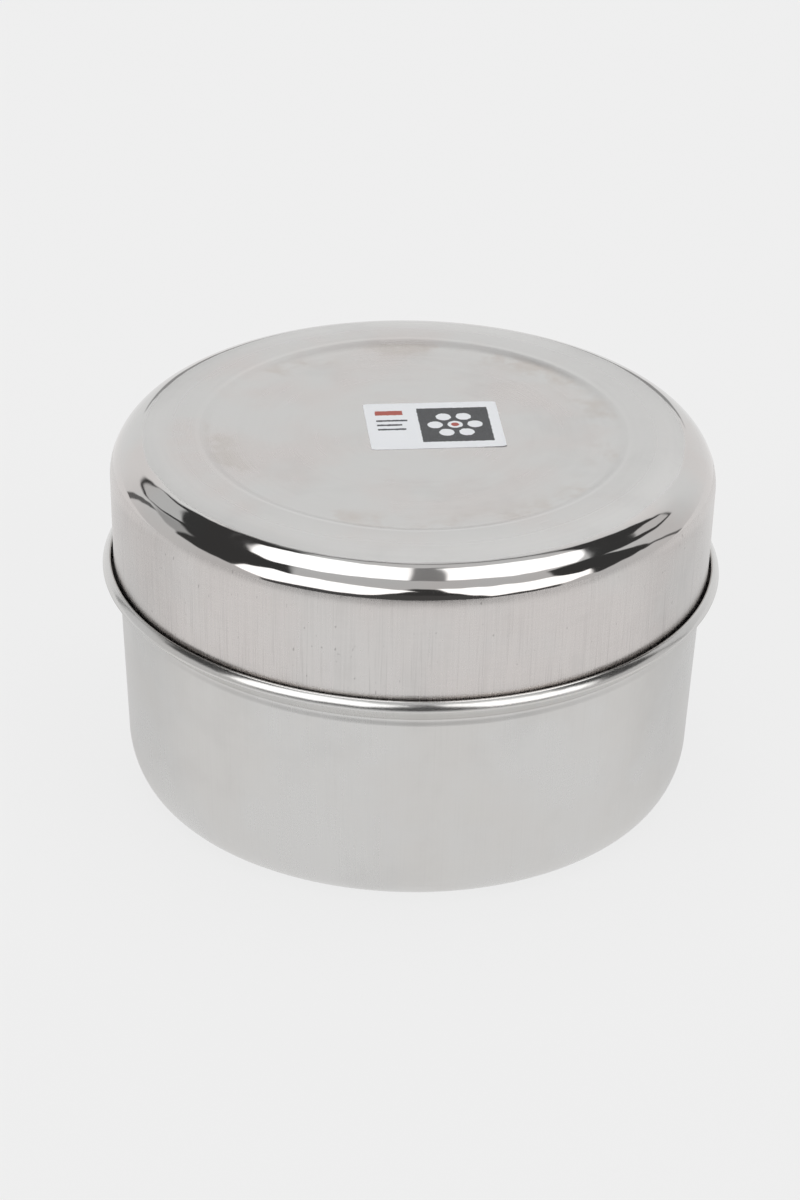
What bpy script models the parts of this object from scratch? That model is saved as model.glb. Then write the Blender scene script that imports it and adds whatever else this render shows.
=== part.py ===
"""Round stainless steel spice box (masala dabba).

A deep base with a rolled rim holds seven small cups. A flat inner lid with a strap handle
lies on the cups, a small spoon lies on the inner lid, and a deep outer lid drops inside
the base's rim. Metres, +Z up, origin at the centre of the underside.
"""

import math

import bmesh
import bpy

MM = 0.001

# Sheet metal and clearances
SHEET = 0.6 * MM
GAP = 0.3 * MM
ROUND_STEPS = 48
CUP_STEPS = 24

# Base
BASE_FOOT_R = 77.6 * MM
BASE_CORNER_TOP_R = 88.2 * MM
BASE_CORNER_H = 17.0 * MM
CREASE_R = 90.0 * MM
CREASE_Z = 64.8 * MM
NECK_OUTER_R = 93.8 * MM
NECK_Z = 70.2 * MM
BEAD_Z = 73.7 * MM
BEAD_OUTER_R = 96.0 * MM
BEAD_HALF_H = 1.6 * MM

# Outer lid: a round shoulder that a gently falling ring joins to the recess
LID_SKIRT_R = 92.4 * MM
LID_WALL_R = 93.3 * MM
LID_SEAT_GAP = 0.4 * MM
LID_TOP_Z = 117.0 * MM
SHOULDER_R = 12.8 * MM
SHOULDER_SLOPE = 12.0
RING_DROP = 1.8 * MM
RECESS_OUTER_R = 67.3 * MM
RECESS_INNER_R = 61.5 * MM
RECESS_DEPTH = 1.3 * MM

# Paper label in the lid's recess
LABEL_L = 41.5 * MM
LABEL_W = 31.5 * MM
LABEL_T = 0.2 * MM
LABEL_LIFT = 0.1 * MM
LABEL_CORNER = 0.5 * MM
LABEL_CENTRE = (6.2 * MM, 6.1 * MM)
LABEL_TURN = math.radians(6.3)

# Cups: one in the middle and a ring round it
CUP_COUNT = 6
CUP_RING_R = 58.4 * MM
CUP_RIM_R = 28.9 * MM
CUP_WALL_R = 27.8 * MM
CUP_CORNER_R = 26.0 * MM
CUP_FOOT_R = 16.0 * MM
CUP_CORNER_H = 12.0 * MM
CUP_H = 56.0 * MM
CUP_RIM_H = 1.6 * MM

# Inner lid and its strap handle
PLATE_R = 88.2 * MM
PLATE_EDGE_H = 2.4 * MM
PLATE_EDGE_IN = 1.6 * MM
STRAP_T = 1.0 * MM
STRAP_W = 11.0 * MM
STRAP_FOOT_L = 10.0 * MM
STRAP_LOOP_R = 13.0 * MM
STRAP_RISE = 8.0 * MM
STRAP_BEND_R = 3.0 * MM

# Spoon
SPOON_L = 96.0 * MM
SPOON_BOWL_L = 34.0 * MM
SPOON_BOWL_W = 25.0 * MM
SPOON_BOWL_DEPTH = 3.8 * MM
SPOON_T = 1.0 * MM
SPOON_NECK_W = 5.0 * MM
SPOON_TIP_W = 10.5 * MM
SPOON_RISE = 7.0 * MM
SPOON_Y = -38.0 * MM
SPOON_TURN = math.radians(14.0)

# Heights that follow from the sizes above
CUP_Z = SHEET + GAP
PLATE_Z = CUP_Z + CUP_H + GAP
NECK_INNER_R = NECK_OUTER_R - SHEET
LID_SKIRT_Z = NECK_Z - LID_SEAT_GAP
RECESS_Z = LID_TOP_Z - RECESS_DEPTH

STEEL = (0.70, 0.69, 0.67, 1.0)
STEEL_POLISHED = (0.76, 0.75, 0.74, 1.0)
PAPER = (0.88, 0.88, 0.86, 1.0)


def clear_scene():
    for old in list(bpy.data.objects):
        bpy.data.objects.remove(old, do_unlink=True)


def material(name, colour, roughness, metallic):
    """A Principled material, made once for each name."""
    made = bpy.data.materials.get(name) or bpy.data.materials.new(name)
    made.use_nodes = True
    shader = made.node_tree.nodes["Principled BSDF"]
    shader.inputs["Base Color"].default_value = colour
    shader.inputs["Roughness"].default_value = roughness
    shader.inputs["Metallic"].default_value = metallic
    made.diffuse_color = colour
    return made


def place(name, mesh, finish, location=(0.0, 0.0, 0.0), turn=0.0):
    thing = bpy.data.objects.new(name, mesh)
    thing.location = location
    thing.rotation_euler = (0.0, 0.0, turn)
    thing.data.materials.append(finish)
    bpy.context.scene.collection.objects.link(thing)
    return thing


def arc(centre, radii, start, end, steps):
    """Points (r, z) on an ellipse's arc, angles in degrees from +r towards +z."""
    points = []
    for i in range(steps + 1):
        angle = math.radians(start + (end - start) * i / steps)
        points.append(
            (centre[0] + radii[0] * math.cos(angle), centre[1] + radii[1] * math.sin(angle))
        )
    return points


def turned(name, outline, steps, finish, location=(0.0, 0.0, 0.0)):
    """A turned piece. The outline (r, z) runs down the outer side, top to bottom."""
    mesh = bpy.data.meshes.new(name)
    edges = [(i, i + 1) for i in range(len(outline) - 1)]
    mesh.from_pydata([(r, 0.0, z) for r, z in outline], edges, [])
    piece = place(name, mesh, finish, location)
    screw = piece.modifiers.new("Turn", "SCREW")
    screw.steps = steps
    screw.render_steps = steps
    screw.use_merge_vertices = True
    screw.merge_threshold = 0.00001
    screw.use_smooth_shade = True
    return piece


def bowl_outline(foot_r, corner_r, corner_h, steps):
    """The inside (axis to wall) and outside (wall to axis) of a bowl's floor and corner."""
    centre = (foot_r, corner_h)
    width = corner_r - foot_r
    inner = arc(centre, (width - SHEET, corner_h - SHEET), -90, 0, steps)
    outer = arc(centre, (width, corner_h), 0, -90, steps)
    return [(0.0, SHEET)] + inner, outer + [(0.0, 0.0)]


def make_base(finish):
    inside, outside = bowl_outline(BASE_FOOT_R, BASE_CORNER_TOP_R, BASE_CORNER_H, 5)
    bead_half_w = (BEAD_OUTER_R - NECK_INNER_R) / 2
    bead = arc(
        (NECK_INNER_R + bead_half_w, BEAD_Z), (bead_half_w, BEAD_HALF_H), 180, -90, 9
    )
    outline = inside
    outline += [(CREASE_R - SHEET, CREASE_Z + SHEET / 2), (NECK_INNER_R, NECK_Z)]
    outline += bead
    outline += [(NECK_OUTER_R, BEAD_Z - BEAD_HALF_H), (NECK_OUTER_R, NECK_Z)]
    outline += [(CREASE_R, CREASE_Z)]
    outline += outside
    return turned("base_box", outline, ROUND_STEPS, finish)


def lid_top(inset):
    """The lid's top surface from the axis to the wall, set in by a sheet's thickness or 0."""
    slope = math.radians(SHOULDER_SLOPE)
    start_r = LID_WALL_R - SHOULDER_R * (1 - math.sin(slope))
    start_z = LID_TOP_Z - RING_DROP
    centre = (LID_WALL_R - SHOULDER_R, start_z - SHOULDER_R * math.cos(slope))
    middle_r = (RECESS_OUTER_R + start_r) / 2
    points = [
        (0.0, RECESS_Z - inset),
        (RECESS_INNER_R, RECESS_Z - inset),
        (RECESS_OUTER_R, LID_TOP_Z - inset),
        (middle_r, LID_TOP_Z - RING_DROP / 4 - inset),
    ]
    radius = SHOULDER_R - inset
    return points + arc(centre, (radius, radius), 90 - SHOULDER_SLOPE, 0, 6)


def make_outer_lid(finish):
    outside = lid_top(0.0)
    inside = list(reversed(lid_top(SHEET)))
    skirt = [(LID_SKIRT_R, LID_SKIRT_Z), (LID_SKIRT_R - SHEET, LID_SKIRT_Z)]
    return turned("outer_lid", outside + skirt + inside, ROUND_STEPS, finish)


def sheet_piece(name, rows, thickness, finish, location=(0.0, 0.0, 0.0), turn=0.0):
    """A pressed sheet: a grid of points, given its thickness on the side its faces look to.

    Seen from that side, the rows run to the right and the points of a row run upwards.
    """
    shape = bmesh.new()
    grid = [[shape.verts.new(point) for point in row] for row in rows]
    for left, right in zip(grid, grid[1:]):
        for j in range(len(left) - 1):
            shape.faces.new((left[j], right[j], right[j + 1], left[j + 1]))
    mesh = bpy.data.meshes.new(name)
    shape.to_mesh(mesh)
    shape.free()
    piece = place(name, mesh, finish, location, turn)
    solidify = piece.modifiers.new("Sheet", "SOLIDIFY")
    solidify.thickness = thickness
    solidify.offset = 1.0
    solidify.use_even_offset = True
    return piece


def make_label(lid, finish):
    """A flat card with clipped corners, which rides on the lid."""
    half_l = LABEL_L / 2
    half_w = LABEL_W / 2
    stations = (
        (-half_l, half_w - LABEL_CORNER),
        (LABEL_CORNER - half_l, half_w),
        (half_l - LABEL_CORNER, half_w),
        (half_l, half_w - LABEL_CORNER),
    )
    rows = [[(x, -y, 0.0), (x, y, 0.0)] for x, y in stations]
    place_at = (*LABEL_CENTRE, RECESS_Z + LABEL_LIFT)
    label = sheet_piece("lid_label", rows, LABEL_T, finish, place_at, LABEL_TURN)
    label.parent = lid


def cup_outline():
    inside, outside = bowl_outline(CUP_FOOT_R, CUP_CORNER_R, CUP_CORNER_H, 3)
    rim = [
        (CUP_WALL_R - SHEET, CUP_H - CUP_RIM_H),
        (CUP_WALL_R, CUP_H),
        (CUP_RIM_R, CUP_H - CUP_RIM_H / 3),
        (CUP_RIM_R, CUP_H - CUP_RIM_H),
        (CUP_WALL_R, CUP_H - 2 * CUP_RIM_H),
    ]
    return inside + rim + outside


def make_cups(finish):
    """cup_centre on the axis, and cup_1 to cup_6 round it, counted from +X towards +Y."""
    places = {"cup_centre": (0.0, 0.0, CUP_Z)}
    for number in range(CUP_COUNT):
        angle = 2 * math.pi * number / CUP_COUNT
        places[f"cup_{number + 1}"] = (
            CUP_RING_R * math.cos(angle),
            CUP_RING_R * math.sin(angle),
            CUP_Z,
        )
    for name, location in places.items():
        turned(name, cup_outline(), CUP_STEPS, finish, location)


def make_inner_lid(finish):
    """A flat plate whose edge turns up all round."""
    outline = [
        (0.0, SHEET),
        (PLATE_R - PLATE_EDGE_IN, SHEET),
        (PLATE_R - SHEET, PLATE_EDGE_IN),
        (PLATE_R - SHEET, PLATE_EDGE_H),
        (PLATE_R, PLATE_EDGE_H),
        (PLATE_R, PLATE_EDGE_IN - SHEET / 2),
        (PLATE_R - PLATE_EDGE_IN + SHEET / 2, 0.0),
        (0.0, 0.0),
    ]
    return turned("inner_lid", outline, ROUND_STEPS, finish, (0.0, 0.0, PLATE_Z))


def strap_path():
    """The strap's underside (x, z) from the end of one foot over the loop to the other."""
    foot_end = STRAP_LOOP_R + STRAP_BEND_R + STRAP_FOOT_L
    left = [(-foot_end, 0.0)]
    left += arc(
        (-STRAP_LOOP_R - STRAP_BEND_R, STRAP_BEND_R),
        (STRAP_BEND_R, STRAP_BEND_R),
        -90,
        0,
        3,
    )
    loop = arc((0.0, STRAP_BEND_R + STRAP_RISE), (STRAP_LOOP_R, STRAP_LOOP_R), 180, 0, 10)
    right = [(-x, z) for x, z in reversed(left)]
    return left + loop + right


def make_handle(plate, finish):
    """An omega-shaped strap, spot-welded to the plate by its two feet."""
    rows = [[(x, -STRAP_W / 2, z), (x, STRAP_W / 2, z)] for x, z in strap_path()]
    handle = sheet_piece("inner_lid_handle", rows, STRAP_T, finish, (0.0, 0.0, SHEET + GAP))
    handle.parent = plate


def spoon_half_width(x):
    """Half the spoon's width at x, which runs from the bowl's tip to the handle's end."""
    if x < SPOON_BOWL_L:
        u = 2 * x / SPOON_BOWL_L - 1
        return max(SPOON_BOWL_W / 2 * math.sqrt(1 - u * u), SPOON_NECK_W / 2)
    u = (x - SPOON_BOWL_L) / (SPOON_L - SPOON_BOWL_L)
    return (SPOON_NECK_W + (SPOON_TIP_W - SPOON_NECK_W) * u * u) / 2


def spoon_height(x, across):
    """The underside's height at x; across runs from -1 to 1 over the width."""
    if x < SPOON_BOWL_L:
        u = 2 * x / SPOON_BOWL_L - 1
        return SPOON_BOWL_DEPTH * (1 - (1 - u * u) * (1 - across * across))
    u = (x - SPOON_BOWL_L) / (SPOON_L - SPOON_BOWL_L)
    return SPOON_BOWL_DEPTH + SPOON_RISE * math.sin(math.pi / 2 * u) ** 2


def make_spoon(finish):
    """A pressed spoon: stations from the bowl's tip to the end of the handle."""
    bowl = [SPOON_BOWL_L * (1 - math.cos(math.pi * i / 8)) / 2 for i in range(9)]
    stem = [SPOON_BOWL_L + (SPOON_L - SPOON_BOWL_L) * i / 6 for i in range(1, 7)]
    rows = []
    for x in bowl + stem:
        row = []
        for step in range(-3, 4):
            across = step / 3
            y = spoon_half_width(x) * across
            row.append((x - SPOON_L / 2, y, spoon_height(x, across)))
        rows.append(row)
    place_at = (0.0, SPOON_Y, PLATE_Z + SHEET + GAP)
    sheet_piece("spice_spoon", rows, SPOON_T, finish, place_at, SPOON_TURN)


def main():
    clear_scene()
    satin = material("satin_steel", STEEL, 0.35, 1.0)
    polished = material("polished_steel", STEEL_POLISHED, 0.12, 1.0)
    make_base(satin)
    make_label(make_outer_lid(satin), material("label_paper", PAPER, 0.6, 0.0))
    make_cups(polished)
    make_handle(make_inner_lid(satin), polished)
    make_spoon(polished)


main()
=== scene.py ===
"""Looks of the round steel spice box: base, outer lid with its label, and what it holds."""

import math

import bmesh
import bpy
from mathutils import Matrix, Vector


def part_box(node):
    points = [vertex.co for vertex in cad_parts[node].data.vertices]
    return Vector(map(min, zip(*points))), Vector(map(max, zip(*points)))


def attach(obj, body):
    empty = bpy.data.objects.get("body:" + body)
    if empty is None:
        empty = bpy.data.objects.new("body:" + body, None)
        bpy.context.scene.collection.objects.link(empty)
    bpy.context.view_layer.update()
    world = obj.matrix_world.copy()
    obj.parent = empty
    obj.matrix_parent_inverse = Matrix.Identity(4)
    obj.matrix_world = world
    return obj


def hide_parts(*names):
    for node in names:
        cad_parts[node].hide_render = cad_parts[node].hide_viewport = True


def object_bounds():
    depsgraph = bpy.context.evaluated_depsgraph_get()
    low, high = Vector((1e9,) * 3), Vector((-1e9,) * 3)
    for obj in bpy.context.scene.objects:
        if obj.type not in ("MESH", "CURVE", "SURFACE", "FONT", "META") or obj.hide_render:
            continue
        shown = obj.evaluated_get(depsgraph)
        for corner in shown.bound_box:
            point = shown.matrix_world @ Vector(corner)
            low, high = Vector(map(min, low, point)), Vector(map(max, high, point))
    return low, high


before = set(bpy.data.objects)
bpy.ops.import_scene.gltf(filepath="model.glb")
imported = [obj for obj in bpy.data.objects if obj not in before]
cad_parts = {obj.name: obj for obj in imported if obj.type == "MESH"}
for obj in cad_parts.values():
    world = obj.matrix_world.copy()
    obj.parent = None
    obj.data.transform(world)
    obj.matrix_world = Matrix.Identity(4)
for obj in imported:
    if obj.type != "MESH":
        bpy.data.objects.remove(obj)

cad_low, cad_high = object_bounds()

MM = 0.001
WALL_STEPS = 320
CUP_STEPS = 160

# Lengths in mm
SHEET = 0.6
HEM = SHEET / 2
BASE_FOOT_R, BASE_WALL_R, BASE_CORNER = 77.6, 88.2, 17.0
STEP_INNER, STEP_OUTER, STEP_DEPTH = 61.7, 67.1, 1.25
RING_END, RING_FALL = 83.16, 1.8
SHOULDER_R, SHOULDER_CENTRE_R, SHOULDER_DROP = 12.8, 80.5, 14.32
LID_WALL_R, LID_SKIRT_R = 93.3, 92.4
CUP_FOOT_R, CUP_WALL_R, CUP_CORNER = 16.0, 26.0, 12.0
PLATE_FLAT_R, PLATE_BEND_R = 86.2, 2.0
RIDGE_INNER, RIDGE_OUTER, RIDGE_HEIGHT = 62.0, 67.0, 0.32
STRAP_REACH, STRAP_ARCH_R, STRAP_ARCH_Z, STRAP_BEND_R = 26.0, 13.0, 11.0, 3.0
STRAP_HALF_WIDTH, STRAP_END_R, STRAP_LIFT = 5.5, 2.6, 0.62
SPOON_BOWL, SPOON_STEM, SPOON_OFFSET = 34.0, 62.0, 38.0
LABEL_HALF_LENGTH, LABEL_HALF_WIDTH, LABEL_CORNER, LABEL_THICKNESS = 20.75, 15.75, 0.5, 0.12
LABEL_TURN = math.radians(6.3)
SPOON_TURN = math.radians(14.0)

# Heights in mm between which a marking of the lid fades in or out
TOP_HEIGHTS = (100.0, 105.0)
GAP_HEIGHTS = (74.0, 86.0)
SHOULDER_HEIGHTS = (100.0, 107.0)

# Relief of the steel's drawing marks and of its slight unevenness, in metres
GRAIN_DEPTH = 0.000004
WAVER_DEPTH = 0.00016

BRIGHT_STEEL = (0.69, 0.685, 0.675)

# Camera: places in metres and the lens in mm
ELEVATION = math.radians(28.84)
ROLL = math.radians(1.34)
DISTANCE = 1.35
LENS = 128.86
AIM_HEIGHT = 0.05
AIM_RIGHT = -0.00298
AIM_UP = 0.0067

# Radiance: the backdrop, the floor as the camera and as the steel sees it, and how much darker
# the steel sees the strip of floor level with the box
BACKDROP = 0.855
FLOOR_SEEN = 0.776
FLOOR_MIRRORED = 0.79
FLOOR_SHADE = 0.12

# Half the floor's side and how far it lies below the box, in metres
FLOOR_HALF = 12.0
FLOOR_GAP = 0.0002


# ---------------------------------------------------------------- outlines and meshes


def arc(centre, radii, start, end, steps):
    """Points (r, z) on an ellipse's arc, angles in degrees from +r towards +z."""
    points = []
    for i in range(steps + 1):
        angle = math.radians(start + (end - start) * i / steps)
        points.append(
            (centre[0] + radii[0] * math.cos(angle), centre[1] + radii[1] * math.sin(angle))
        )
    return points


def smooth(u):
    return u * u * (3 - 2 * u)


def ease(start, end, steps, upright=False, share=1.0):
    """Points between two, without the first: z eases in and out over r, or r over z."""
    points = []
    for i in range(1, steps + 1):
        u = i / steps
        eased = share * smooth(u) + (1 - share) * u
        a, b = (eased, u) if upright else (u, eased)
        points.append(
            (start[0] + (end[0] - start[0]) * a, start[1] + (end[1] - start[1]) * b)
        )
    return points


def line(start, end, steps):
    """Points between two, without the first."""
    return [
        (start[0] + (end[0] - start[0]) * i / steps, start[1] + (end[1] - start[1]) * i / steps)
        for i in range(1, steps + 1)
    ]


def keep_place(mesh, origin=(0.0, 0.0, 0.0)):
    """Stores each point's place from the piece's own axis, which the materials read."""
    kept = mesh.attributes.new("place", "FLOAT_VECTOR", "POINT")
    for point, value in zip(mesh.vertices, kept.data):
        value.vector = point.co - Vector(origin)


def piece_from(shape, name, material, origin=(0.0, 0.0, 0.0), sharp=38.0):
    """An object from a bmesh in metres, with smooth faces and sharp edges by angle."""
    bmesh.ops.recalc_face_normals(shape, faces=shape.faces)
    mesh = bpy.data.meshes.new(name)
    shape.to_mesh(mesh)
    shape.free()
    for face in mesh.polygons:
        face.use_smooth = True
    mesh.set_sharp_from_angle(angle=math.radians(sharp))
    keep_place(mesh, origin)
    mesh.materials.append(material)
    thing = bpy.data.objects.new(name, mesh)
    bpy.context.scene.collection.objects.link(thing)
    return thing


def lathe_into(shape, outline, steps, origin=(0.0, 0.0, 0.0)):
    """Adds a turned solid. The outline (r, z) in mm runs from the axis out and back to it."""
    rings = []
    for r, z in outline:
        if r < 1e-6:
            rings.append([shape.verts.new((origin[0], origin[1], origin[2] + z * MM))])
            continue
        ring = []
        for i in range(steps):
            angle = 2 * math.pi * i / steps
            ring.append(
                shape.verts.new(
                    (
                        origin[0] + r * MM * math.cos(angle),
                        origin[1] + r * MM * math.sin(angle),
                        origin[2] + z * MM,
                    )
                )
            )
        rings.append(ring)
    for near, far in zip(rings, rings[1:]):
        for i in range(steps):
            j = (i + 1) % steps
            if len(near) == 1:
                shape.faces.new((near[0], far[i], far[j]))
            elif len(far) == 1:
                shape.faces.new((near[i], near[j], far[0]))
            else:
                shape.faces.new((near[i], near[j], far[j], far[i]))


def turned(name, outline, steps, material, origin=(0.0, 0.0, 0.0)):
    shape = bmesh.new()
    lathe_into(shape, outline, steps, origin)
    return piece_from(shape, name, material, origin)


def loops_into(shape, loops):
    """Adds a closed skin over a row of point loops, with a fan over each end."""
    rows = [[shape.verts.new(point) for point in loop] for loop in loops]
    count = len(rows[0])
    for near, far in zip(rows, rows[1:]):
        for i in range(count):
            j = (i + 1) % count
            shape.faces.new((near[i], near[j], far[j], far[i]))
    for row in (rows[0], rows[-1]):
        middle = shape.verts.new(sum((v.co for v in row), Vector()) / count)
        for i in range(count):
            shape.faces.new((row[i], row[(i + 1) % count], middle))


# ---------------------------------------------------------------- node graphs


class Graph:
    """Adds nodes to a tree and feeds their inputs with sockets or values."""

    def __init__(self, tree):
        self.tree = tree

    def feed(self, socket, value):
        if isinstance(value, bpy.types.NodeSocket):
            self.tree.links.new(value, socket)
        elif value is not None:
            socket.default_value = value

    def node(self, kind, *values, out=0, **settings):
        made = self.tree.nodes.new(kind)
        for key, value in settings.items():
            setattr(made, key, value)
        for socket, value in zip(made.inputs, values):
            self.feed(socket, value)
        return made.outputs[out]

    def math(self, operation, *values, clamp=False):
        return self.node("ShaderNodeMath", *values, operation=operation, use_clamp=clamp)

    def add(self, a, b):
        return self.math("ADD", a, b)

    def sub(self, a, b):
        return self.math("SUBTRACT", a, b)

    def times(self, *values):
        total = values[0]
        for value in values[1:]:
            total = self.math("MULTIPLY", total, value)
        return total

    def vector(self, operation, *values):
        return self.node("ShaderNodeVectorMath", *values, operation=operation)

    def dot(self, a, b):
        made = self.tree.nodes.new("ShaderNodeVectorMath")
        made.operation = "DOT_PRODUCT"
        self.feed(made.inputs[0], a)
        self.feed(made.inputs[1], b)
        return made.outputs["Value"]

    def length(self, a):
        made = self.tree.nodes.new("ShaderNodeVectorMath")
        made.operation = "LENGTH"
        self.feed(made.inputs[0], a)
        return made.outputs["Value"]

    def scaled(self, vector, factor):
        made = self.tree.nodes.new("ShaderNodeVectorMath")
        made.operation = "SCALE"
        self.feed(made.inputs[0], vector)
        self.feed(made.inputs["Scale"], factor)
        return made.outputs[0]

    def join(self, x, y, z):
        return self.node("ShaderNodeCombineXYZ", x, y, z)

    def step(self, value, low, high, to_low=0.0, to_high=1.0):
        """Eases from to_low to to_high as value goes from low to high."""
        return self.node(
            "ShaderNodeMapRange",
            value,
            low,
            high,
            to_low,
            to_high,
            interpolation_type="SMOOTHSTEP",
            clamp=True,
        )

    def noise(self, vector, scale=1.0, detail=2.0, roughness=0.5):
        made = self.tree.nodes.new("ShaderNodeTexNoise")
        self.feed(made.inputs["Vector"], vector)
        made.inputs["Scale"].default_value = scale
        made.inputs["Detail"].default_value = detail
        made.inputs["Roughness"].default_value = roughness
        return made.outputs[0]

    def blend(self, a, b, factor):
        """A number between a and b."""
        made = self.tree.nodes.new("ShaderNodeMix")
        made.data_type = "FLOAT"
        self.feed(made.inputs[0], factor)
        self.feed(made.inputs[2], a)
        self.feed(made.inputs[3], b)
        return made.outputs[0]

    def tint(self, a, b, factor):
        """A colour between a and b."""
        made = self.tree.nodes.new("ShaderNodeMix")
        made.data_type = "RGBA"
        self.feed(made.inputs[0], factor)
        self.feed(made.inputs[6], a)
        self.feed(made.inputs[7], b)
        return made.outputs[2]

    def bump(self, height, distance, strength=1.0, normal=None):
        made = self.tree.nodes.new("ShaderNodeBump")
        made.inputs["Distance"].default_value = distance
        self.feed(made.inputs["Strength"], strength)
        self.feed(made.inputs["Height"], height)
        self.feed(made.inputs["Normal"], normal)
        return made.outputs[0]


def new_material(name, colour, roughness, metallic):
    made = bpy.data.materials.new(name)
    made.use_nodes = True
    made.diffuse_color = (*colour, 1.0)
    shader = made.node_tree.nodes["Principled BSDF"]
    shader.inputs["Base Color"].default_value = (*colour, 1.0)
    shader.inputs["Roughness"].default_value = roughness
    shader.inputs["Metallic"].default_value = metallic
    return made, Graph(made.node_tree), shader


def band(g, height, low, high, soft_low, soft_high):
    """1 between two heights in mm, with an eased edge of its own width at each."""
    rise = g.step(height, low - soft_low, low + soft_low)
    fall = g.step(height, high - soft_high, high + soft_high, 1.0, 0.0)
    return g.times(rise, fall)


def steel(
    name,
    colour,
    satin,
    gloss,
    bands=(),
    streaks=1.0,
    rings=1.0,
    cloud=1.0,
    hairs=0.0,
    specks=0.0,
    step=None,
    scuff=0.02,
    blush=0.0,
    neck=None,
):
    """Pressed steel: satin, with polished bands by height.

    satin and gloss are the roughness of the plain and the polished parts. A band is its lowest
    and highest height in mm, and how soft its two edges are. Drawing marks (streaks) run up the
    walls and polishing marks (rings) run round the flats, and scuff is how much of them polished
    parts keep. step is the recess edge's inner and outer radius in mm: it is half polished, with
    compound left beside it, and the top's ring outside it is rougher and painted lighter, a
    painted highlight. blush warms the walls. neck is two heights in mm, and the wall between
    them is painted lighter, a painted reflection.
    """
    made, g, shader = new_material(name, colour, satin, 1.0)
    place = g.node("ShaderNodeAttribute", out="Vector", attribute_name="place")
    in_mm = g.scaled(place, 1000.0)
    flat = g.vector("MULTIPLY", in_mm, (1.0, 1.0, 0.0))
    radius = g.length(flat)
    around = g.vector("NORMALIZE", flat)
    height = g.node("ShaderNodeSeparateXYZ", in_mm, out="Z")
    facing = g.node("ShaderNodeNewGeometry", out="Normal")
    flatness = g.math("ABSOLUTE", g.node("ShaderNodeSeparateXYZ", facing, out="Z"))
    level = g.step(flatness, 0.45, 0.85)

    def drawn(count, rise, shift, detail):
        """Noise drawn out up the wall: count over the circle's radius, rise per mm."""
        up = g.join(shift, 3.0, g.times(height, rise))
        return g.noise(g.vector("ADD", g.scaled(around, count), up), 1.0, detail)

    fine = drawn(150.0, 0.03, 0.0, 2.0)
    broad = drawn(15.0, 0.012, 7.0, 2.0)
    hair = drawn(200.0, 0.04, 21.0, 1.0)
    along = g.join(0.0, 5.0, g.times(height, 0.9))
    cross = g.noise(g.vector("ADD", g.scaled(around, 12.0), along), 1.0, 2.0)
    outward = g.join(0.0, 0.0, g.times(radius, 0.8))
    turned_marks = g.noise(g.vector("ADD", g.scaled(around, 1.6), outward), 1.0, 2.0, 0.5)
    patches = g.noise(g.scaled(in_mm, 0.026), 1.0, 3.0, 0.55)
    clouds = g.noise(g.vector("ADD", g.scaled(in_mm, 0.045), (11.0, 5.0, 2.0)), 1.0, 4.0, 0.6)

    shine = 0.0
    wander = g.times(g.sub(g.noise(g.scaled(around, 5.0), 1.0, 2.0, 0.5), 0.5), 0.35)
    edge = g.add(height, wander)
    for low, high, soft_low, soft_high in bands:
        part = band(g, edge, low, high, soft_low, soft_high)
        shine = part if shine == 0.0 else g.math("MAXIMUM", shine, part)
    if step:
        # the lid's top, and not the flats below it
        on_top = g.times(level, g.step(height, *TOP_HEIGHTS))
        worn = g.times(band(g, radius, step[1] - 1.2, step[1] + 0.1, 0.35, 0.2), on_top)
        shine = g.math("MAXIMUM", shine, g.times(worn, 0.5))
    dull = g.sub(1.0, shine)

    wall_grain = g.add(g.add(g.times(fine, 0.55), g.times(broad, 0.25)), g.times(cross, 0.20))
    wall_mark = g.times(g.sub(wall_grain, 0.5), streaks)
    flat_mark = g.times(g.sub(turned_marks, 0.5), rings)
    grain = g.blend(wall_mark, flat_mark, level)

    warming = (0.995 + 0.025 * blush, 0.973, 0.95 + 0.012 * blush)
    warm = [c * k for c, k in zip(colour, warming)] + [1.0]
    warmth = g.times(g.step(patches, 0.40, 0.66), 0.45 + 0.4 * blush)
    if blush:
        side = g.times(g.sub(1.0, level), 0.95 * blush)
        side = g.times(side, g.step(patches, 0.30, 0.62, 0.45, 1.0))
        warmth = g.math("MAXIMUM", warmth, side)
    shade = g.tint((*colour, 1.0), warm, warmth)
    # painted reflection: the wall between the neck's two heights gets a lighter colour
    if neck:
        lighter = [min(1.0, c * 1.22) for c in colour] + [1.0]
        shade = g.tint(shade, lighter, g.times(band(g, height, *neck, 0.6, 0.3), g.sub(1.0, level)))
    darker = g.times(g.step(clouds, 0.45, 0.75), 0.05 * cloud)
    darker = g.add(darker, g.times(warmth, 0.02))
    darker = g.add(darker, g.times(grain, -0.23))
    wall = g.times(g.sub(1.0, level), dull)
    if hairs:
        lower = g.step(height, 70.0, 100.0, 1.0, 0.35)
        darker = g.add(darker, g.times(g.step(hair, 0.57, 0.72), wall, lower, hairs))
    if specks:
        spot = drawn(95.0, 0.55, 2.0, 0.0)
        darker = g.add(darker, g.times(g.step(spot, 0.80, 0.88), wall, specks))
    if step:
        smear = g.times(band(g, radius, step[0] - 6.0, step[0] + 2.5, 4.5, 1.5), on_top)
        smear = g.times(smear, g.step(g.noise(g.scaled(in_mm, 0.055), 1.0, 4.0, 0.65), 0.46, 0.66))
        compound = [c * k for c, k in zip(colour, (0.93, 0.885, 0.855))] + [1.0]
        shade = g.tint(shade, compound, smear)
        # painted highlight: the top's ring outside the recess edge gets a lighter colour, and below
        # it is made a little rougher
        outer_ring_painted_lighter = g.times(g.step(radius, step[1] + 5.0, step[1] + 14.0), on_top, dull)
        shade = g.tint(shade, [c * 1.11 for c in colour] + [1.0], outer_ring_painted_lighter)
    darker = g.times(darker, g.blend(1.0, 0.25, shine))
    g.feed(shader.inputs["Base Color"], g.tint((0.0, 0.0, 0.0, 1.0), shade, g.sub(1.0, darker)))

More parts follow.
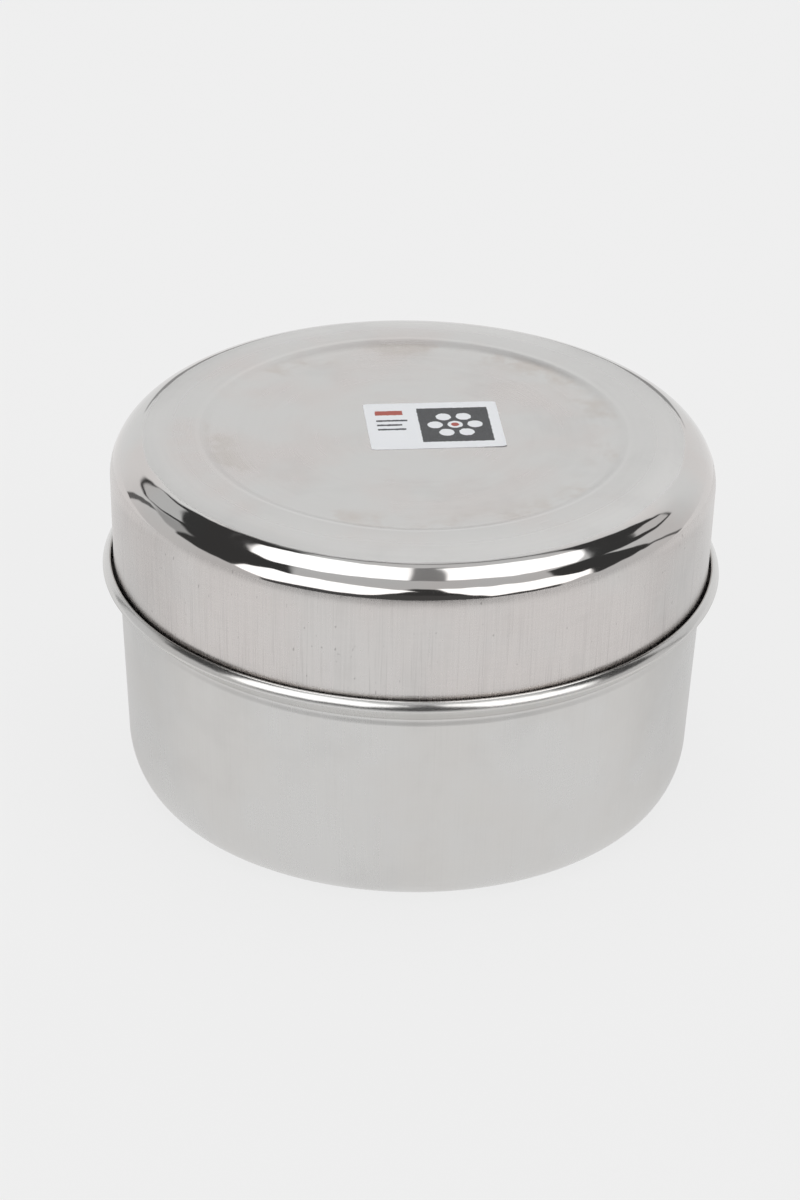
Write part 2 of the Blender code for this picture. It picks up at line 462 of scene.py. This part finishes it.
    rough = g.blend(satin, gloss, shine)
    rough = g.add(rough, g.times(grain, g.blend(1.0, 2 * scuff, shine), 0.20))
    rough = g.add(rough, g.times(g.sub(patches, 0.5), dull, 0.08))
    if step:
        rough = g.add(rough, g.times(outer_ring_painted_lighter, 0.10))
    g.feed(shader.inputs["Roughness"], g.math("MAXIMUM", rough, 0.03))

    waver = g.noise(g.vector("MULTIPLY", in_mm, (0.055, 0.055, 0.12)), 1.0, 2.0)
    normal = g.bump(waver, WAVER_DEPTH)
    # the grain is weaker on polished parts, beside the gap and under the lid's shoulder
    strength = g.blend(1.0, 2 * scuff, shine)
    if step:
        strength = g.times(strength, g.step(height, *GAP_HEIGHTS, 0.3, 1.0))
        strength = g.times(strength, g.step(height, *SHOULDER_HEIGHTS, 1.0, 0.2))
    normal = g.bump(grain, GRAIN_DEPTH, strength, normal)
    g.feed(shader.inputs["Normal"], normal)
    return made


def rectangle(g, x, y, left, right, low, high, soft=0.12):
    return g.times(
        g.step(x, left - soft, left + soft),
        g.step(x, right - soft, right + soft, 1.0, 0.0),
        g.step(y, low - soft, low + soft),
        g.step(y, high - soft, high + soft, 1.0, 0.0),
    )


def disc(g, x, y, centre, size, soft=0.12):
    offset = g.length(g.join(g.sub(x, centre[0]), g.sub(y, centre[1]), 0.0))
    return g.step(offset, size - soft, size + soft, 1.0, 0.0)


def label_paper(name):
    """White coated paper with a plain print: a panel with seven circles and a few bars."""
    paper, ink, accent = (0.885, 0.90, 0.925), (0.026, 0.028, 0.031), (0.44, 0.10, 0.075)
    made, g, shader = new_material(name, paper, 0.42, 0.0)
    place = g.node("ShaderNodeAttribute", out="Vector", attribute_name="place")
    in_mm = g.scaled(place, 1000.0)
    wobble = g.noise(in_mm, 0.9, 3.0, 0.6)
    x = g.add(g.node("ShaderNodeSeparateXYZ", in_mm, out="X"), g.times(g.sub(wobble, 0.5), 0.7))
    y = g.add(g.node("ShaderNodeSeparateXYZ", in_mm, out="Y"), g.times(g.sub(wobble, 0.5), -0.6))

    print_mask = rectangle(g, x, y, -4.5, 17.5, -11.5, 11.8)
    seat = (6.5, 0.2)
    circles = disc(g, x, y, seat, 2.35)
    for i in range(6):
        angle = math.radians(60 * i)
        near = (seat[0] + 6.2 * math.cos(angle), seat[1] + 6.2 * math.sin(angle))
        circles = g.math("MAXIMUM", circles, disc(g, x, y, near, 2.35))
    print_mask = g.times(print_mask, g.sub(1.0, circles))
    for low, high, right in ((3.2, 4.3, -8.0), (0.2, 1.3, -9.8), (-2.8, -1.7, -8.8)):
        print_mask = g.math("MAXIMUM", print_mask, rectangle(g, x, y, -17.6, right, low, high))
    accent_mask = rectangle(g, x, y, -17.6, -9.0, 7.6, 10.6)
    accent_mask = g.math("MAXIMUM", accent_mask, disc(g, x, y, seat, 1.25))

    worn = g.add(0.86, g.times(g.noise(in_mm, 2.4, 3.0, 0.7), 0.2))
    fibre = g.noise(in_mm, 5.0, 4.0, 0.7)
    sheet = g.tint((0.86, 0.875, 0.90, 1.0), (*paper, 1.0), fibre)
    colour = g.tint(sheet, (*ink, 1.0), g.math("MINIMUM", g.times(print_mask, worn), 1.0))
    colour = g.tint(colour, (*accent, 1.0), accent_mask)
    g.feed(shader.inputs["Base Color"], colour)
    shader.inputs["Specular IOR Level"].default_value = 0.35
    g.feed(shader.inputs["Roughness"], g.blend(0.48, 0.40, print_mask))
    g.feed(shader.inputs["Normal"], g.bump(fibre, 0.00001))
    return made


# ---------------------------------------------------------------- pieces


def bowl(foot_r, corner_r, corner_h, steps, sheet=SHEET):
    """A bowl's inside, axis to wall, and its outside, wall to axis."""
    centre = (foot_r, corner_h)
    width = corner_r - foot_r
    inner = arc(centre, (width - sheet, corner_h - sheet), -90, 0, steps)
    outer = arc(centre, (width, corner_h), 0, -90, steps)
    return (
        [(0.0, sheet)] + line((0.0, sheet), (foot_r, sheet), 6)[:-1] + inner,
        outer + line((foot_r, 0.0), (0.0, 0.0), 6),
    )


def base_outline():
    """Floor, corner, wall, a shallow crease, a flared neck and a rolled rim."""
    inside, outside = bowl(BASE_FOOT_R, BASE_WALL_R, BASE_CORNER, 20)
    # inside: wall, crease and flare
    outline = inside + line((BASE_WALL_R - SHEET, BASE_CORNER), (89.75, 63.6), 10)
    outline += ease((89.75, 63.6), (89.35, 65.7), 8, share=0.5, upright=True)
    outline += ease((89.35, 65.7), (93.2, 71.0), 12, upright=True, share=0.2)
    # rolled rim: round top, slanted face, corner and underside
    outline += arc((93.95, 73.95), (0.8, 1.05), 180, 50.75, 16)
    outline += arc((89.336, 69.989), (7.0, 7.0), 43, 24, 9)[1:]
    outline += arc((92.99, 71.616), (3.0, 3.0), 24, 14, 3)[1:]
    outline += arc((95.61, 72.269), (0.3, 0.3), 14, -90, 7)[1:]
    outline += line((95.61, 71.969), (94.1, 71.9), 3)
    # outside: flare, crease and wall
    outline += [(93.92, 71.82), (93.84, 71.68), (93.8, 71.4)]
    outline += ease((93.8, 71.4), (90.12, 66.55), 16, upright=True, share=0.15)
    outline += ease((90.12, 66.55), (90.02, 66.15), 4, upright=True, share=0.5)
    outline += ease((90.02, 66.15), (90.57, 64.35), 10, upright=True, share=0.35)
    outline += line((90.57, 64.35), (BASE_WALL_R, BASE_CORNER), 12)[:-1]
    return outline + outside


def lid_surface(top, inset):
    """The lid's top from the axis to the wall, set in by a sheet's thickness or 0."""
    floor = top - STEP_DEPTH - inset
    points = [(0.0, floor)] + line((0.0, floor), (STEP_INNER, floor), 8)
    points += ease((STEP_INNER, floor), (STEP_OUTER, top - inset), 20, share=0.4)
    for i in range(1, 12):
        u = i / 12
        r = STEP_OUTER + (RING_END - STEP_OUTER) * u
        points.append((r, top - RING_FALL * u * u - inset))
    radius = SHOULDER_R - inset
    return points + arc((SHOULDER_CENTRE_R, top - SHOULDER_DROP), (radius, radius), 78, 0, 40)


def lid_outline(top, skirt):
    """Outside from the axis to the hem, and inside back to the axis."""
    wall_top, hem = top - SHOULDER_DROP, skirt + HEM
    outside = lid_surface(top, 0.0) + line((LID_WALL_R, wall_top), (LID_SKIRT_R, hem), 14)
    inside = list(reversed(lid_surface(top, SHEET)))
    edge = arc((LID_SKIRT_R - HEM, hem), (HEM, HEM), 0, -180, 8)[1:]
    rise = line((LID_SKIRT_R - SHEET, hem), (LID_WALL_R - SHEET, wall_top), 14)[:-1]
    return outside + edge + rise + inside


def cup_outline():
    """Floor, corner, wall and a rolled rim."""
    inside, outside = bowl(CUP_FOOT_R, CUP_WALL_R, CUP_CORNER, 16)
    outline = inside + line((CUP_WALL_R - SHEET, CUP_CORNER), (27.2, 54.0), 8)
    outline += arc((28.1, 55.2), (0.8, 0.8), 180, -118, 24)
    outline += line((27.8, 54.3), (CUP_WALL_R, CUP_CORNER), 8)[:-1]
    return outline + outside


def plate_outline():
    """A flat plate with a low pressed ring and an edge that turns up."""
    ridge = []
    for i in range(11):
        r = RIDGE_INNER + (RIDGE_OUTER - RIDGE_INNER) * i / 10
        ridge.append((r, RIDGE_HEIGHT * math.sin(math.pi * i / 10) ** 2))
    inner_bend = PLATE_BEND_R - SHEET
    wall = PLATE_FLAT_R + PLATE_BEND_R
    top = [(0.0, SHEET)] + line((0.0, SHEET), (RIDGE_INNER - 1.0, SHEET), 6)
    top += [(r, SHEET + h) for r, h in ridge]
    top += line((RIDGE_OUTER, SHEET), (PLATE_FLAT_R, SHEET), 4)
    top += arc((PLATE_FLAT_R, PLATE_BEND_R), (inner_bend, inner_bend), -90, 0, 8)[1:]
    edge = arc((wall - HEM, PLATE_BEND_R + 0.1), (HEM, HEM), 180, 0, 8)
    under = arc((PLATE_FLAT_R, PLATE_BEND_R), (PLATE_BEND_R, PLATE_BEND_R), 0, -90, 8)[1:]
    under += line((PLATE_FLAT_R, 0.0), (RIDGE_OUTER, 0.0), 4) + list(reversed(ridge))
    under += line((RIDGE_INNER, 0.0), (0.0, 0.0), 6)
    return top + edge + under


def strap_loops(origin):
    """Cross-sections along the omega-shaped strap, with round edges and foot ends."""
    end_x, bend_x = -STRAP_REACH, -STRAP_ARCH_R - STRAP_BEND_R
    path = [(end_x, 0.0), (end_x + 0.15, 0.0), (end_x + 0.5, 0.0)]
    path += line((end_x, 0.0), (bend_x, 0.0), 12)
    path += arc((bend_x, STRAP_BEND_R), (STRAP_BEND_R, STRAP_BEND_R), -90, 0, 8)[1:]
    path += line((-STRAP_ARCH_R, STRAP_BEND_R), (-STRAP_ARCH_R, STRAP_ARCH_Z), 4)
    path += arc((0.0, STRAP_ARCH_Z), (STRAP_ARCH_R, STRAP_ARCH_R), 180, 90, 20)[1:]
    path += [(-x, z) for x, z in reversed(path[:-1])]
    loops = []
    for i, (x, z) in enumerate(path):
        before, after = path[max(i - 1, 0)], path[min(i + 1, len(path) - 1)]
        run = Vector((after[0] - before[0], after[1] - before[1])).normalized()
        out = Vector((-run.y, run.x))
        end = min((STRAP_REACH - abs(x)) / STRAP_END_R, 1.0) if z < 0.01 else 1.0
        rounded = math.sqrt(max(0.0, 1 - (1 - end) ** 2))
        half = STRAP_HALF_WIDTH - STRAP_END_R * (1 - rounded)
        loop = []
        for k in range(28):
            angle = 2 * math.pi * k / 28
            c, s = math.cos(angle), math.sin(angle)
            across = half * math.copysign(abs(c) ** 0.28, c)
            thick = 0.5 + 0.5 * math.copysign(abs(s) ** 0.45, s)
            loop.append(
                Vector(origin)
                + Vector((x + out.x * thick, across, z + out.y * thick)) * MM
            )
        loops.append(loop)
    return loops


def spoon_width(x):
    """Half the spoon's width in mm at x mm from its tip."""
    bowl_part = 0.0
    if x < SPOON_BOWL:
        bowl_part = 12.5 * math.sqrt(max(0.0, 1 - (2 * x / SPOON_BOWL - 1) ** 2))
    u = max(0.0, (x - SPOON_BOWL) / SPOON_STEM)
    stem = (2.5 + 2.75 * u * u) * smooth(min(1.0, max(0.0, (x - 20.0) / 12.0)))
    stem *= math.sqrt(max(0.0, 1 - max(0.0, (x - 91.0) / 5.0) ** 2))
    return (bowl_part**5 + stem**5) ** 0.2


def spoon_height(x, across):
    """The spoon's underside in mm, across from -1 to 1 over its width."""
    if x < SPOON_BOWL:
        edge = math.sin(math.pi / 2 * (2 * x / SPOON_BOWL - 1)) ** 2
        return 3.8 * (1 - (1 - edge) * (1 - across * across))
    u = (x - SPOON_BOWL) / SPOON_STEM
    crown = 0.5 * smooth(min(1.0, u * 4)) * (1 - across * across)
    return 3.8 + 7.0 * math.sin(math.pi / 2 * u) ** 2 - crown


def spoon_loops(origin, turn):
    """Cross-sections along the spoon, from its tip to the stem's end."""
    spin = Matrix.Rotation(turn, 4, "Z")
    loops = []
    length = SPOON_BOWL + SPOON_STEM
    stations = [SPOON_BOWL * (1 - math.cos(math.pi * i / 44)) / 2 for i in range(45)]
    stations += [SPOON_BOWL + SPOON_STEM * math.sin(math.pi / 2 * i / 50) for i in range(1, 51)]
    for x in stations[1:-1]:
        end = min(x, length - x)
        body = math.sqrt(min(1.0, end / 0.8))
        loop = []
        for k in range(36):
            angle = 2 * math.pi * k / 36
            c, s = math.cos(angle), math.sin(angle)
            across = math.copysign(abs(c) ** 0.8, c)
            thick = 0.45 + 0.45 * body * math.copysign(abs(s) ** 0.5, s)
            z = spoon_height(x, across) + thick
            point = Vector((x - length / 2, spoon_width(x) * across, z))
            loop.append(Vector(origin) + spin @ point * MM)
        loops.append(loop)
    return loops


def label_card(material):
    """A thin card in the recess, with two opposite corners slightly lifted."""
    low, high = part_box("lid_label")
    centre = ((low.x + high.x) / 2, (low.y + high.y) / 2, low.z - 0.06 * MM)
    half_l, half_w = LABEL_HALF_LENGTH, LABEL_HALF_WIDTH
    spin = Matrix.Rotation(LABEL_TURN, 4, "Z")
    shape = bmesh.new()
    columns, rows = 30, 22
    sides = []
    for height in (LABEL_THICKNESS, 0.0):
        grid = []
        for i in range(columns + 1):
            row = []
            for j in range(rows + 1):
                x = half_l * (2 * i / columns - 1)
                y = half_w * (2 * j / rows - 1)
                if i in (0, columns):
                    y *= (half_w - LABEL_CORNER) / half_w
                lift = max(0.0, (x / half_l - y / half_w) / 2 - 0.55) ** 2 * 0.8
                lift += max(0.0, (-x / half_l + y / half_w) / 2 - 0.7) ** 2 * 0.7
                point = spin @ Vector((x, y, height + lift)) * MM
                row.append(shape.verts.new(Vector(centre) + point))
            grid.append(row)
        sides.append(grid)
    for grid in sides:
        for i in range(columns):
            for j in range(rows):
                shape.faces.new(
                    (grid[i][j], grid[i + 1][j], grid[i + 1][j + 1], grid[i][j + 1])
                )
    top, under = sides
    rim = [(i, 0) for i in range(columns)] + [(columns, j) for j in range(rows)]
    rim += [(i, rows) for i in range(columns, 0, -1)] + [(0, j) for j in range(rows, 0, -1)]
    for (a, b), (c, d) in zip(rim, rim[1:] + rim[:1]):
        shape.faces.new((top[a][b], top[c][d], under[c][d], under[a][b]))
    card = piece_from(shape, "label_card", material)
    back = spin.inverted()
    for point, value in zip(card.data.vertices, card.data.attributes["place"].data):
        value.vector = back @ (point.co - Vector(centre))
    return card


def weld_marks(shape, origin):
    """Four low spot-weld nuggets on the strap's feet."""
    outline = [(0.0, -0.3), (1.5, -0.3), (1.5, 0.0), (1.35, 0.07), (1.1, 0.08), (0.8, 0.03)]
    outline.append((0.0, 0.02))
    for x in (-22.6, -18.6, 18.6, 22.6):
        lathe_into(shape, outline, 24, (origin[0] + x * MM, origin[1], origin[2] + 1.0 * MM))


def build_pieces():
    lid_low, lid_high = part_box("outer_lid")
    top, skirt = lid_high.z / MM, lid_low.z / MM

    base_steel = steel(
        "base_steel",
        (0.667, 0.661, 0.651),
        satin=0.28,
        gloss=0.18,
        bands=((71.7, 90.0, 0.4, 0.3),),
        streaks=0.22,
        rings=0.4,
        cloud=0.8,
        hairs=0.015,
        scuff=0.15,
        # the neck's wall between these heights is painted lighter, a painted reflection
        neck=(67.2, 71.9),
    )
    lid_steel = steel(
        "lid_steel",
        (0.655, 0.650, 0.640),
        satin=0.26,
        gloss=0.055,
        bands=((top - 9.35, top - 1.83, 0.10, 0.10),),
        streaks=1.2,
        rings=0.28,
        cloud=0.9,
        hairs=0.13,
        specks=0.25,
        # the recess edge; the top's ring outside it is painted lighter, a painted highlight
        step=(STEP_INNER, STEP_OUTER),
        blush=1.0,
    )
    plate_steel = steel(
        "inner_lid_steel", (0.66, 0.655, 0.645), satin=0.26, gloss=0.1, rings=0.5, cloud=0.6
    )
    cup_steel = steel(
        "cup_steel",
        BRIGHT_STEEL,
        satin=0.15,
        gloss=0.08,
        bands=((53.6, 60.0, 0.3, 0.3),),
        streaks=0.4,
        rings=0.8,
    )
    strap_steel = steel(
        "handle_steel", BRIGHT_STEEL, satin=0.16, gloss=0.08, streaks=0.4, rings=0.5
    )
    spoon_steel = steel(
        "spoon_steel", BRIGHT_STEEL, satin=0.14, gloss=0.08, streaks=0.3, rings=0.4
    )

    base = turned("base_shell", base_outline(), WALL_STEPS, base_steel)
    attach(base, "base")
    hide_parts("base_box")

    lid = turned("lid_shell", lid_outline(top, skirt), WALL_STEPS, lid_steel)
    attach(lid, "outer_lid")
    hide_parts("outer_lid")

    card = label_card(label_paper("label_paper"))
    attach(card, "outer_lid")
    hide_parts("lid_label")

    plate_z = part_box("inner_lid")[0].z
    plate = turned("inner_plate", plate_outline(), WALL_STEPS, plate_steel, (0.0, 0.0, plate_z))
    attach(plate, "inner_lid")
    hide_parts("inner_lid")

    foot = (0.0, 0.0, plate_z + STRAP_LIFT * MM)
    shape = bmesh.new()
    loops_into(shape, strap_loops(foot))
    weld_marks(shape, foot)
    strap = piece_from(shape, "strap_handle", strap_steel)
    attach(strap, "inner_lid")
    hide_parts("inner_lid_handle")

    low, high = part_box("spice_spoon")
    shape = bmesh.new()
    loops_into(shape, spoon_loops((0.0, -SPOON_OFFSET * MM, low.z), SPOON_TURN))
    spoon = piece_from(shape, "spoon_pressed", spoon_steel)
    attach(spoon, "spoon")
    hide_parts("spice_spoon")

    for node in ["cup_centre"] + [f"cup_{i}" for i in range(1, 7)]:
        low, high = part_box(node)
        seat = ((low.x + high.x) / 2, (low.y + high.y) / 2, low.z)
        cup = turned(node + "_shell", cup_outline(), CUP_STEPS, cup_steel, seat)
        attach(cup, node)
        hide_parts(node)


# ---------------------------------------------------------------- studio


def direction(azimuth, elevation):
    """A unit vector. Azimuth 0 is the camera's side and 90 is +X, in degrees."""
    a, e = math.radians(azimuth), math.radians(elevation)
    return Vector((math.sin(a) * math.cos(e), -math.cos(a) * math.cos(e), math.sin(e)))


# What the steel mirrors: radiance, softness of the edge, and corners (azimuth, elevation).
SOFTBOX = 1.8
PANELS = (
    # dark screens behind the box, beside it and at the camera's side
    (0.05, 0.025, ((-147, 29), (-162, 48), (-90, 52), (-112, 36), (-128, 22), (-136, 23))),
    (0.05, 0.025, ((-162, 45), (-168, 52), (-158, 60), (-140, 56))),
    (0.05, 0.020, ((-155, 50), (-147, 59), (-95, 60), (-92, 50))),
    (0.05, 0.020, ((-116, 39), (-76, 64), (-52, 45), (-70, 22), (-99, 20))),
    (0.05, 0.015, ((157, 56), (137, 38), (127, 28), (114, 30), (87, 45), (138, 58))),
    (0.05, 0.015, ((69, 51), (61, 38), (71, 17), (101, 16), (91, 48))),
    (0.05, 0.020, ((-16, 20), (3, 47), (9, 47), (31, 16), (0, 15))),
    (0.08, 0.015, ((-57, 18), (57, 17), (55, 12), (0, 15), (-55, 12))),
    (0.42, 0.030, ((-122, 26), (-112, 36), (-100, 34), (-101, 23), (-116, 23))),
    # their stands
    (0.15, 0.010, ((-118, 24), (-122, 24), (-131, -6), (-127, -6))),
    (0.15, 0.010, ((98, 19), (101, 19), (119, -6), (116, -6))),
    # edge of the ceiling, and the table's far edge
    (0.20, 0.010, ((-163, 50), (180, 57), (180, 59), (-161, 53))),
    (0.20, 0.010, ((180, 57), (158, 53), (155, 56), (180, 59))),
    (0.35, 0.015, ((176, 0), (168, 2), (163, 14), (171, 13))),
    (0.35, 0.015, ((-176, 0), (-168, 2), (-163, 14), (-171, 13))),
    # pale windows
    (0.63, 0.012, ((-138, 27), (-151, 36), (-148, 43), (-116, 39), (-126, 25), (-134, 25))),
    (0.66, 0.012, ((122, 44), (131, 42), (134, 36), (126, 30), (117, 33), (113, 40))),
    # narrow gap between the two upper softboxes
    (0.28, 0.020, ((-178, 73), (167, 69), (24, 67), (-3, 70))),
    # softboxes
    (SOFTBOX, 0.012, ((-147, 57), (-159, 60), (180, 72), (0, 71), (-56, 65), (-81, 56), (-98, 57))),
    (SOFTBOX, 0.012, ((166, 73), (152, 67), (129, 57), (103, 54), (85, 50), (59, 59), (26, 69))),
    (SOFTBOX, 0.012, ((-69, 22), (-68, 34), (-62, 42), (-32, 47), (2, 40), (-14, 26), (-55, 18))),
    (SOFTBOX, 0.012, ((12, 46), (73, 28), (70, 19), (56, 17), (30, 20), (15, 37))),
)


def build_world():
    world = bpy.data.worlds.new("studio")
    bpy.context.scene.world = world
    world.use_nodes = True
    tree = world.node_tree
    g = Graph(tree)
    look = g.node("ShaderNodeTexCoord", out="Generated")
    depth = g.node("ShaderNodeSeparateXYZ", look, out="Y")
    rise = g.node("ShaderNodeSeparateXYZ", look, out="Z")
    # the room is lighter towards the back, where the light grows with height and then drops
    light = g.step(depth, -0.5, 0.3, 0.62, 0.70)
    back = g.step(depth, 0.35, 0.80)
    light = g.add(light, g.times(back, g.step(rise, 0.50, 0.72, 0.17, 0.28)))
    light = g.sub(light, g.times(back, g.step(rise, 0.77, 0.83), 0.33))
    for radiance, soft, corners in PANELS:
        points = [direction(*corner) for corner in corners]
        middle = sum(points, Vector())
        mask = None
        for a, b in zip(points, points[1:] + points[:1]):
            side = a.cross(b).normalized()
            if side.dot(middle) < 0:
                side = -side
            part = g.step(g.dot(look, tuple(side)), -soft, soft)
            mask = part if mask is None else g.times(mask, part)
        light = g.blend(light, radiance, mask)
    light = g.blend(BACKDROP, light, g.step(rise, -0.02, 0.02))
    seen = g.node("ShaderNodeLightPath", out="Is Camera Ray")
    background = tree.nodes["Background"]
    background.inputs["Color"].default_value = (1.0, 1.0, 1.0, 1.0)
    g.feed(background.inputs["Strength"], g.blend(light, BACKDROP, seen))


def build_floor():
    shape = bmesh.new()
    h, z = FLOOR_HALF, cad_low.z - FLOOR_GAP
    corners = ((-h, -h), (h, -h), (h, h), (-h, h))
    shape.faces.new([shape.verts.new((x, y, z)) for x, y in corners])
    mesh = bpy.data.meshes.new("floor")
    shape.to_mesh(mesh)
    shape.free()
    made, g, shader = new_material("floor_pale", (0.10, 0.10, 0.10), 1.0, 0.0)
    shader.inputs["Specular IOR Level"].default_value = 0.0
    shader.inputs["Emission Color"].default_value = (1.0, 1.0, 1.0, 1.0)
    spot = g.node("ShaderNodeNewGeometry", out="Position")
    away = g.node("ShaderNodeSeparateXYZ", spot, out="Y")
    # the walls' sides mirror the floor level with the box, which is a little darker
    beside = g.times(g.step(away, -0.07, 0.01), g.step(away, 0.11, 0.19, 1.0, 0.0))
    seen = g.node("ShaderNodeLightPath", out="Is Camera Ray")
    mirrored = g.sub(FLOOR_MIRRORED, g.times(beside, FLOOR_SHADE))
    g.feed(shader.inputs["Emission Strength"], g.blend(mirrored, FLOOR_SEEN, seen))
    mesh.materials.append(made)
    floor = bpy.data.objects.new("floor", mesh)
    bpy.context.scene.collection.objects.link(floor)


def build_camera():
    ahead = Vector((0.0, math.cos(ELEVATION), -math.sin(ELEVATION)))
    level = Vector((0.0, math.sin(ELEVATION), math.cos(ELEVATION)))
    right = Vector((1.0, 0.0, 0.0)) * math.cos(ROLL) + level * math.sin(ROLL)
    up = Vector((-1.0, 0.0, 0.0)) * math.sin(ROLL) + level * math.cos(ROLL)
    centre = (cad_low + cad_high) / 2
    centre.z = cad_low.z + AIM_HEIGHT
    spot = centre - ahead * DISTANCE
    aim = centre + right * AIM_RIGHT + up * AIM_UP
    z = (spot - aim).normalized()
    x = up.cross(z).normalized()
    y = z.cross(x)
    data = bpy.data.cameras.new("camera")
    data.lens = LENS
    data.sensor_width = 36.0
    data.clip_start, data.clip_end = 0.05, 60.0
    camera = bpy.data.objects.new("camera", data)
    camera.matrix_world = Matrix.Translation(spot) @ Matrix((x, y, z)).transposed().to_4x4()
    bpy.context.scene.collection.objects.link(camera)
    bpy.context.scene.camera = camera


bpy.context.scene.view_settings.view_transform = "Standard"
build_camera()
build_world()
build_floor()
build_pieces()
